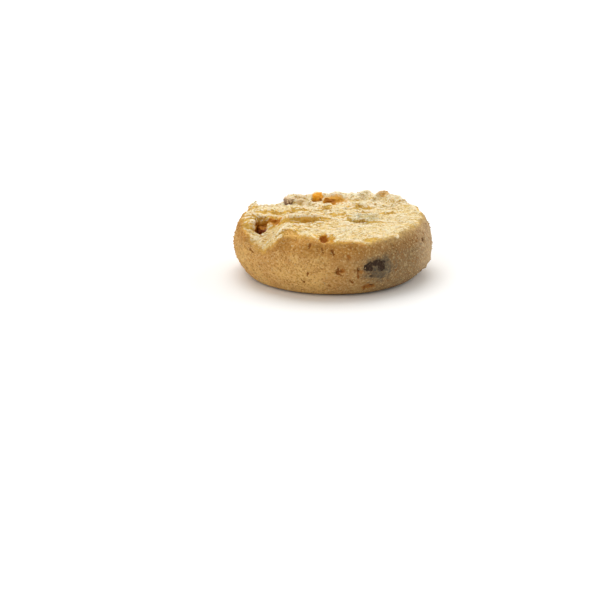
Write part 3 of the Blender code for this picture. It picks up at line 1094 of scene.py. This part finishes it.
@dataclass(frozen=True)
class CrumbRelief:
    """The fine shape of the dough's surface, in millimetres. Each size is an input of its tree.

    Attributes:
        layer_gap: from one broad torn layer to the next.
        layer_height: height of a broad layer's step.
        crumb_size: size of a soft crumb.
        crumb_height: how far it stands up.
        grit_height: height of the grit on the crumb.
        pore_gap: from one pore of the side to the next.
        pore_depth: depth of a pore.
    """

    layer_gap: float = 3.4
    layer_height: float = 0.62
    crumb_size: float = 1.25
    crumb_height: float = 0.10
    grit_height: float = 0.06
    pore_gap: float = 1.5
    pore_depth: float = 0.26

    def tree(self) -> Modelling:
        """Builds the tree that moves the surface.

        Returns:
            The tree, ready to run.
        """
        sizes = {name.replace("_", " ").title(): size for name, size in asdict(self).items()}
        graph = Modelling("crumb_relief", sizes)
        place = graph.scaled(graph.out(graph.add("GeometryNodeInputPosition")), PER_MM)
        normal = graph.out(graph.add("GeometryNodeInputNormal"))
        share = graph.stored(Mask.RELIEF)
        across, back, _ = graph.parts(place)
        ledged = graph.ramp(across - back, 11.0, 2.0, 0.5, 1.0)
        top = (self.layers(graph, place) * ledged + self.crumbs(graph, place)) * share
        side = self.skin_relief(graph, place) * (1.0 - share)
        underside = graph.ramp(graph.parts(normal)[2], -0.5, -0.9)
        height = (top + side * (1.0 - underside * 0.7)) * MM
        values = {"Geometry": graph.source.outputs[0], "Offset": graph.scaled(normal, height)}
        moved = graph.add("GeometryNodeSetPosition", None, values)
        graph.finish(moved.outputs[0])
        return graph

    def layers(self, graph: Modelling, place: Value) -> Value:
        """Torn layers: short steps that face the front and slope away behind.

        Args:
            graph: the tree.
            place: the point, in millimetres.

        Returns:
            Their height in millimetres.
        """
        across, back, _ = graph.parts(place)
        total = 0.0
        for index, (share, lean) in enumerate(((1.0, 0.16), (0.55, 0.30), (0.3, -0.05))):
            gap = graph.given("Layer Gap") * share
            height = graph.given("Layer Height") * share**1.45
            values = {"X": across * 0.4, "Y": back, "Z": float(index * 9)}
            stretched = graph.out(graph.add("ShaderNodeCombineXYZ", None, values))
            wander = graph.noise(stretched, 0.16 / share, 2.5, 0.55)
            phase = graph.math("FRACT", (back - across * lean) / gap + wander * 4.0)
            tooth = graph.ramp(phase, 0.0, 0.4) * graph.ramp(phase, 1.0, 0.35)
            spread = graph.vector("ADD", place, (17.0 * index, 3.0, 0.0))
            patch = graph.ramp(graph.noise(spread, 0.20 / share, 3.0), 0.42, 0.60)
            total = tooth * patch * height + total
        return total

    def crumbs(self, graph: Modelling, place: Value) -> Value:
        """Soft crumbs with creases between them, and finer grit on them.

        Args:
            graph: the tree.
            place: the point, in millimetres.

        Returns:
            Their height in millimetres.
        """
        bent = graph.warped(place, 0.9, 1.6)
        near = graph.out(graph.cells(bent, 1.0 / graph.given("Crumb Size"), "SMOOTH_F1"), "Distance")
        patch = graph.ramp(graph.noise(place, 0.3, 2.0), 0.40, 0.62, 0.25, 1.6)
        round_crumb = (0.55 - near) * patch * graph.given("Crumb Height") * 2.0
        grit = (graph.noise(place, 1.8, 4.0, 0.8) - 0.5) * graph.given("Grit Height") * 4.0
        streaked = graph.vector("MULTIPLY", place, (0.55, 1.0, 1.0))
        lump = (graph.noise(streaked, 0.5, 3.0, 0.6) - 0.5) * 0.7
        return round_crumb + grit + lump

    def skin_relief(self, graph: Modelling, place: Value) -> Value:
        """The skin of the side: faint swells, fine grit, scattered pores and a few cracks.

        Args:
            graph: the tree.
            place: the point, in millimetres.

        Returns:
            Its height in millimetres.
        """
        swell = (graph.noise(place, 0.4, 3.0, 0.55) - 0.5) * 0.26
        grit = (graph.noise(place, 1.7, 4.0, 0.8) - 0.5) * 0.21
        cell = graph.cells(place, 1.0 / graph.given("Pore Gap"))
        pick = graph.ramp(graph.parts(graph.out(cell, "Color"))[0], 0.5, 0.6)
        pore = graph.ramp(graph.out(cell, "Distance"), 0.24, 0.08) * pick * graph.given("Pore Depth")
        line = graph.math("ABSOLUTE", graph.noise(place, 0.35, 2.0, 0.5) - 0.5)
        rare = graph.ramp(graph.noise(place, 0.22, 1.0), 0.60, 0.66)
        return swell + grit - pore - graph.ramp(line, 0.010, 0.0) * rare * 0.30


@dataclass(frozen=True)
class Chunk:
    """A piece of caramel or chocolate, in millimetres and degrees.

    Attributes:
        centre: its middle.
        radii: its half sizes.
        turn: its turn about the vertical.
        tone: from 0, dark or deep, to 1, dusty or bright.
    """

    centre: tuple
    radii: tuple
    turn: float = 0.0
    tone: float = 0.5

    def place(self) -> Matrix:
        """The matrix that carries a ball of radius 1 to the chunk.

        Returns:
            The matrix, in metres.
        """
        spin = Matrix.Rotation(math.radians(self.turn), 4, "Z")
        size = Matrix.Diagonal((*[radius * MM for radius in self.radii], 1.0))
        return Matrix.Translation(Vector(self.centre) * MM) @ spin @ size


@dataclass(frozen=True)
class Inclusions:
    """Chunks of one kind, joined in one piece.

    Attributes:
        name: the piece's name.
        slot: the record's material slot.
        chunks: where and how large each chunk is.
        blocky: 1 for round chunks, less for blocky ones.
        rough: how far a random field pushes the surface, as a share of the size.
        seed: where the first chunk lies in the random field.
        wide_lumps: how many broad lumps a chunk has.
        fine_lumps: how many fine ones.
        light_end: how much lighter its upper end is.
        halvings: how often the ball's faces are split.
    """

    name: str
    slot: Slot
    chunks: tuple
    blocky: float
    rough: float
    seed: float
    wide_lumps: float = 1.3
    fine_lumps: float = 4.0
    light_end: float = 0.55
    halvings: int = 5

    def piece(self, material: bpy.types.Material) -> bpy.types.Object:
        """Makes and dresses the piece.

        Args:
            material: the finish.

        Returns:
            The finished piece.
        """
        cage = bmesh.new()
        cage.verts.layers.float.new(Mask.TONE.value)
        for index, chunk in enumerate(self.chunks):
            self.add_chunk(cage, chunk, self.seed + index)
        bmesh.ops.recalc_face_normals(cage, faces=cage.faces)
        mesh = bpy.data.meshes.new(self.name)
        cage.to_mesh(mesh)
        cage.free()
        mesh.materials.append(material)
        mesh.shade_smooth()
        piece = bpy.data.objects.new(self.name, mesh)
        bpy.context.scene.collection.objects.link(piece)
        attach(piece, BODY)
        return piece

    def add_chunk(self, cage: bmesh.types.BMesh, chunk: Chunk, seed: float) -> None:
        """Adds one rough chunk to the mesh, lighter in tone at its upper end.

        Args:
            cage: the mesh.
            chunk: the chunk.
            seed: its place in the random field.
        """
        place = chunk.place()
        tones = cage.verts.layers.float[Mask.TONE.value]
        ball = bmesh.ops.create_icosphere(cage, subdivisions=self.halvings, radius=1.0)
        for vert in ball["verts"]:
            wide = noise.noise(vert.co * self.wide_lumps + Vector((seed, 0.0, 0.0)))
            fine = noise.noise(vert.co * self.fine_lumps + Vector((0.0, seed, 0.0)))
            vert[tones] = chunk.tone + self.light_end * vert.co.z
            shape = Vector([math.copysign(abs(value) ** self.blocky, value) for value in vert.co])
            vert.co = place @ (shape * (1.0 + self.rough * (wide + 0.5 * fine)))


CARAMEL = Inclusions(
    name="caramel",
    slot=Slot.CARAMEL,
    chunks=(
        Chunk((-3.9, 17.2, 14.5), (1.4, 1.3, 1.7), turn=-20.0, tone=0.6),
        Chunk((-17.7, -0.9, 10.6), (1.6, 1.5, 1.3), turn=15.0, tone=0.0),
        Chunk((16.2, 17.6, 5.6), (1.3, 1.2, 1.2), turn=47.0, tone=0.35),
    ),
    blocky=0.72,
    rough=0.36,
    seed=7.0,
)
CHOCOLATE = Inclusions(
    name="chocolate",
    slot=Slot.CHOCOLATE,
    chunks=(
        Chunk((-11.0, 14.1, 14.75), (1.6, 1.5, 1.05), turn=25.0, tone=0.5),
        Chunk((21.5, -2.2, 1.5), (0.9, 0.7, 0.7), turn=0.0, tone=0.1),
    ),
    blocky=0.6,
    rough=0.42,
    seed=9.0,
)


class Grain(Enum):
    """What is scattered over the dough."""

    SUGAR = "sugar"
    CRUMB = "crumbs"
    GRANULE = "granules"


# Fixed starts of the random turns, sizes and stretches of the grains
TURN_SEED = 3
SIZE_SEED = 5
STRETCH_SEED = 7

# Grains take these values over from the dough under them
GROUND_COLOURS = (Mask.SKIN, Mask.STAIN, Mask.BLOOM, Mask.SLOPE)


@dataclass(frozen=True)
class Scatter:
    """Small grains over the dough, sizes in millimetres.

    Attributes:
        kind: what the grains are.
        density: grains on a square millimetre where they lie thickest.
        smallest: least size of a grain.
        largest: greatest size of a grain.
        sunk: how deep a grain's middle lies.
        on_skin: share of the density on the skin.
        on_crumb: share of it on the crumb.
        avoided: the dough's values that keep the grains away.
        seed: start of the random draws.
        tumble: greatest turn about each axis.
        least_stretch: least length along each axis, as a share of the size.
        most_stretch: greatest length along each axis.
    """

    kind: Grain
    density: float
    smallest: float
    largest: float
    sunk: float
    on_skin: float
    on_crumb: float
    avoided: tuple
    seed: int
    tumble: tuple = (math.tau, math.tau, math.tau)
    least_stretch: tuple = (0.7, 0.7, 0.7)
    most_stretch: tuple = (1.3, 1.3, 1.3)

    def piece(
        self, ground: bpy.types.Object, material: bpy.types.Material, slot: Slot
    ) -> bpy.types.Object:
        """Scatters the grains and turns them into one plain mesh.

        Args:
            ground: the dough.
            material: the grains' finish.
            slot: the record's material slot; not used.

        Returns:
            The finished piece.
        """
        name = self.kind.value
        piece = bpy.data.objects.new(name, ground.data.copy())
        bpy.context.scene.collection.objects.link(piece)
        self.tree(material).run(piece)
        for mask in Mask:
            old = piece.data.attributes.get(mask.value)
            if old and mask not in GROUND_COLOURS:
                piece.data.attributes.remove(old)
        for mask in (Mask.FINE_LEVEL, Mask.BROAD_LEVEL):
            write_mask(piece.data, mask, np.full(len(piece.data.vertices), GRAIN_LEVEL))
        self.gild(piece.data)
        if self.kind is not Grain.SUGAR:
            piece.data.shade_smooth()
        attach(piece, BODY)
        return piece

    def gild(self, mesh: bpy.types.Mesh) -> None:
        """Marks the grains' steep faces for the painted golden shade of the slopes, which stands in for
        light that shines through them.

        Args:
            mesh: the grains.
        """
        store = mesh.attributes[Mask.SLOPE.value]
        slope_shade = np.empty(len(mesh.vertices), np.float32)
        store.data.foreach_get("value", slope_shade)
        steep = 0.6 * ease(read_points(mesh, "normal")[:, 2], 0.7, -0.1)
        store.data.foreach_set("value", np.maximum(slope_shade, steep).astype(np.float32))

    def inputs(self) -> dict[str, Any]:
        """Named inputs of the tree, in metres.

        Returns:
            Each input's value by its name.
        """
        return {
            "Density": self.density / MM**2,
            "Smallest": self.smallest * MM,
            "Largest": self.largest * MM,
            "Sunk": self.sunk * MM,
            "Skin Share": self.on_skin,
            "Crumb Share": self.on_crumb,
            "Seed": self.seed,
        }

    def tree(self, material: bpy.types.Material) -> Modelling:
        """Builds the scattering tree.

        Args:
            material: the grains' finish.

        Returns:
            The tree, ready to run.
        """
        graph = Modelling(f"scatter_{self.kind.value}", self.inputs())
        skin = graph.stored(Mask.SKIN)
        share = skin * graph.given("Skin Share") + (1.0 - skin) * graph.given("Crumb Share")
        for mask in self.avoided:
            share = share * (1.0 - graph.stored(mask))
        normal = graph.out(graph.add("GeometryNodeInputNormal"))
        not_under = graph.ramp(graph.parts(normal)[2], -0.85, -0.6)
        points = graph.add(
            "GeometryNodeDistributePointsOnFaces",
            {"distribute_method": "RANDOM"},
            {
                "Mesh": graph.source.outputs["Geometry"],
                "Density": graph.given("Density") * share * not_under,
                "Seed": graph.given("Seed"),
            },
        )
        sunk = graph.scaled(graph.out(points, "Normal"), graph.given("Sunk") * -1.0)
        values = {"Geometry": points.outputs["Points"], "Offset": sunk}
        lowered = graph.add("GeometryNodeSetPosition", None, values)
        turn = self.drawn(graph, (0.0, 0.0, 0.0), self.tumble, TURN_SEED)
        stretch = self.drawn(graph, self.least_stretch, self.most_stretch, STRETCH_SEED)
        values = {2: graph.given("Smallest"), 3: graph.given("Largest"), "Seed": SIZE_SEED}
        size = graph.add("FunctionNodeRandomValue", {"data_type": "FLOAT"}, values)
        placed = graph.add(
            "GeometryNodeInstanceOnPoints",
            None,
            {
                "Points": lowered.outputs[0],
                "Instance": self.grain(graph),
                "Rotation": turn,
                "Scale": graph.scaled(stretch, graph.out(size, 1)),
            },
        )
        plain = graph.add("GeometryNodeRealizeInstances", None, {"Geometry": placed.outputs[0]})
        values = {"Geometry": plain.outputs[0], "Material": material}
        dressed = graph.add("GeometryNodeSetMaterial", None, values)
        graph.finish(dressed.outputs[0])
        return graph

    def drawn(self, graph: Modelling, least: tuple, most: tuple, seed: int) -> Value:
        """A random vector for each grain, between the least and the most."""
        values = {0: least, 1: most, "Seed": seed}
        return graph.out(graph.add("FunctionNodeRandomValue", {"data_type": "FLOAT_VECTOR"}, values))

    def grain(self, graph: Modelling) -> bpy.types.NodeSocket:
        """One grain a unit across: a squared crystal, an uneven crumb or a plain granule.

        Args:
            graph: the tree.

        Returns:
            The grain's mesh.
        """
        if self.kind is Grain.SUGAR:
            cube = graph.add("GeometryNodeMeshCube", None, {"Size": (1.0, 1.0, 1.0)})
            return cube.outputs["Mesh"]
        fineness = 1 if self.kind is Grain.GRANULE else 2
        ball = graph.add("GeometryNodeMeshIcoSphere", None, {"Radius": 0.5, "Subdivisions": fineness})
        place = graph.out(graph.add("GeometryNodeInputPosition"))
        bumps = graph.add("ShaderNodeTexNoise", None, {"Vector": place, "Scale": 2.6})
        push = graph.vector("SUBTRACT", graph.out(bumps, "Color"), (0.5, 0.5, 0.5))
        values = {"Geometry": ball.outputs["Mesh"], "Offset": graph.scaled(push, 0.9)}
        return graph.add("GeometryNodeSetPosition", None, values).outputs[0]


CRUMBS = Scatter(
    kind=Grain.CRUMB,
    density=0.12,
    smallest=0.25,
    largest=0.7,
    sunk=0.10,
    on_skin=0.02,
    on_crumb=1.0,
    avoided=(Mask.CHIP, Mask.STAIN),
    seed=11,
)
GRANULES = Scatter(
    kind=Grain.GRANULE,
    density=2.3,
    smallest=0.24,
    largest=0.56,
    sunk=0.08,
    on_skin=0.3,
    on_crumb=1.0,
    avoided=(Mask.CHIP, Mask.STAIN),
    seed=31,
    tumble=(0.4, 0.4, 0.6),
    least_stretch=(0.9, 0.65, 0.55),
    most_stretch=(1.9, 1.05, 0.85),
)
SUGAR = Scatter(
    kind=Grain.SUGAR,
    density=0.22,
    smallest=0.16,
    largest=0.34,
    sunk=0.08,
    on_skin=1.0,
    on_crumb=0.12,
    avoided=(Mask.BLOOM, Mask.STAIN),
    seed=23,
)


@dataclass(frozen=True)
class Lamp:
    """A wide soft light that reaches everything alike.

    Attributes:
        name: the light's name.
        strength: its strength.
        source: the direction that it comes from.
        colour: its colour.
    """

    name: str
    strength: float
    source: tuple
    colour: tuple


LAMPS = (
    Lamp("back_window", 2.1, (-0.15, 0.6, 1.0), (1.0, 0.985, 0.96)),
    Lamp("left_window", 1.02, (-1.0, -0.75, 0.9), (1.0, 0.97, 0.92)),
    Lamp("right_window", 1.9, (1.0, 0.55, 0.3), (1.0, 0.99, 0.97)),
)


@dataclass(frozen=True)
class Studio:
    """Floor, lights and camera round the cookie."""

    pixel_mm: float = 0.2525
    frame_pixels: int = 600
    cookie_x_pixel: float = 334.0
    cookie_y_pixel: float = 245.0
    cookie_height_mm: float = 7.0
    elevation: float = 15.6
    lens: float = 120.0
    sensor: float = 36.0
    floor_size: float = 60.0
    fill: float = 0.46
    fill_colour: tuple = (1.0, 0.97, 0.9, 1.0)
    seen_colour: tuple = (1.0, 1.0, 1.0, 1.0)
    floor_colour: tuple = (0.86, 0.868, 0.885, 1.0)
    light_width: float = 60.0

    def camera(self) -> None:
        """Places the camera so that the cookie has its place, size and tilt in the picture."""
        distance = self.lens / self.sensor * self.frame_pixels * self.pixel_mm * MM
        tilt = math.radians(self.elevation)
        back = Vector((0.0, -math.cos(tilt), math.sin(tilt)))
        data = bpy.data.cameras.new("camera")
        data.lens = self.lens
        data.sensor_width = self.sensor
        data.clip_end = self.floor_size * 2.0
        camera = bpy.data.objects.new("camera", data)
        bpy.context.scene.collection.objects.link(camera)
        middle = Vector((0.0, 0.0, self.cookie_height_mm * MM))
        camera.location = middle + back * distance
        half = self.frame_pixels / 2.0
        yaw = math.atan((self.cookie_x_pixel - half) * self.pixel_mm * MM / distance)
        pitch = math.atan((half - self.cookie_y_pixel) * self.pixel_mm * MM / distance)
        camera.rotation_euler = Euler((math.pi / 2.0 - tilt - pitch, 0.0, yaw))
        bpy.context.scene.camera = camera

    def floor(self) -> None:
        """A very large plain pale floor."""
        cage = bmesh.new()
        bmesh.ops.create_grid(cage, x_segments=1, y_segments=1, size=self.floor_size / 2.0)
        mesh = bpy.data.meshes.new("floor")
        cage.to_mesh(mesh)
        cage.free()
        shader = Shader("pale_floor")
        shader.set(Base_Color=self.floor_colour, Roughness=0.7, Specular_IOR_Level=0.2)
        mesh.materials.append(shader.material)
        floor = bpy.data.objects.new("floor", mesh)
        bpy.context.scene.collection.objects.link(floor)

    def sky(self) -> None:
        """A white surround that gives less light than the camera sees."""
        world = bpy.data.worlds.new("surround")
        world.use_nodes = True
        graph = Graph(world.node_tree)
        seen = graph.out(graph.add("ShaderNodeLightPath"), "Is Camera Ray")
        background = world.node_tree.nodes["Background"]
        values = {0: seen, 6: self.fill_colour, 7: self.seen_colour}
        node = graph.add("ShaderNodeMix", {"data_type": "RGBA"}, values)
        graph.feed(background.inputs["Color"], graph.out(node, 2))
        graph.feed(background.inputs["Strength"], self.fill + (1.0 - self.fill) * seen)
        bpy.context.scene.world = world

    def light(self, lamp: Lamp) -> None:
        """Adds one light.

        Args:
            lamp: the light.
        """
        data = bpy.data.lights.new(lamp.name, "SUN")
        data.energy = lamp.strength
        data.angle = math.radians(self.light_width)
        data.color = lamp.colour
        light = bpy.data.objects.new(lamp.name, data)
        bpy.context.scene.collection.objects.link(light)
        light.rotation_euler = Vector(lamp.source).to_track_quat("Z", "Y").to_euler()

    def build(self) -> None:
        """Makes the whole studio."""
        self.floor()
        self.sky()
        for lamp in LAMPS:
            self.light(lamp)
        self.camera()
        bpy.context.scene.view_settings.view_transform = "Standard"


def main() -> None:
    """Builds the cookie and its studio, and reports each piece."""
    logging.basicConfig(level=logging.INFO, format="%(name)s: %(message)s")
    dough = Dough().build()
    dough_material = dough.data.materials[0]
    pieces = [
        dough,
        CARAMEL.piece(CaramelFinish().material()),
        CHOCOLATE.piece(ChocolateFinish().material()),
        CRUMBS.piece(dough, dough_material, Slot.DOUGH),
        GRANULES.piece(dough, dough_material, Slot.DOUGH),
        SUGAR.piece(dough, SugarFinish().material(), Slot.SUGAR),
    ]
    for piece in pieces:
        log.info("%s: %d faces", piece.name, len(piece.data.polygons))
    Studio().build()


if __name__ == "__main__":
    main()
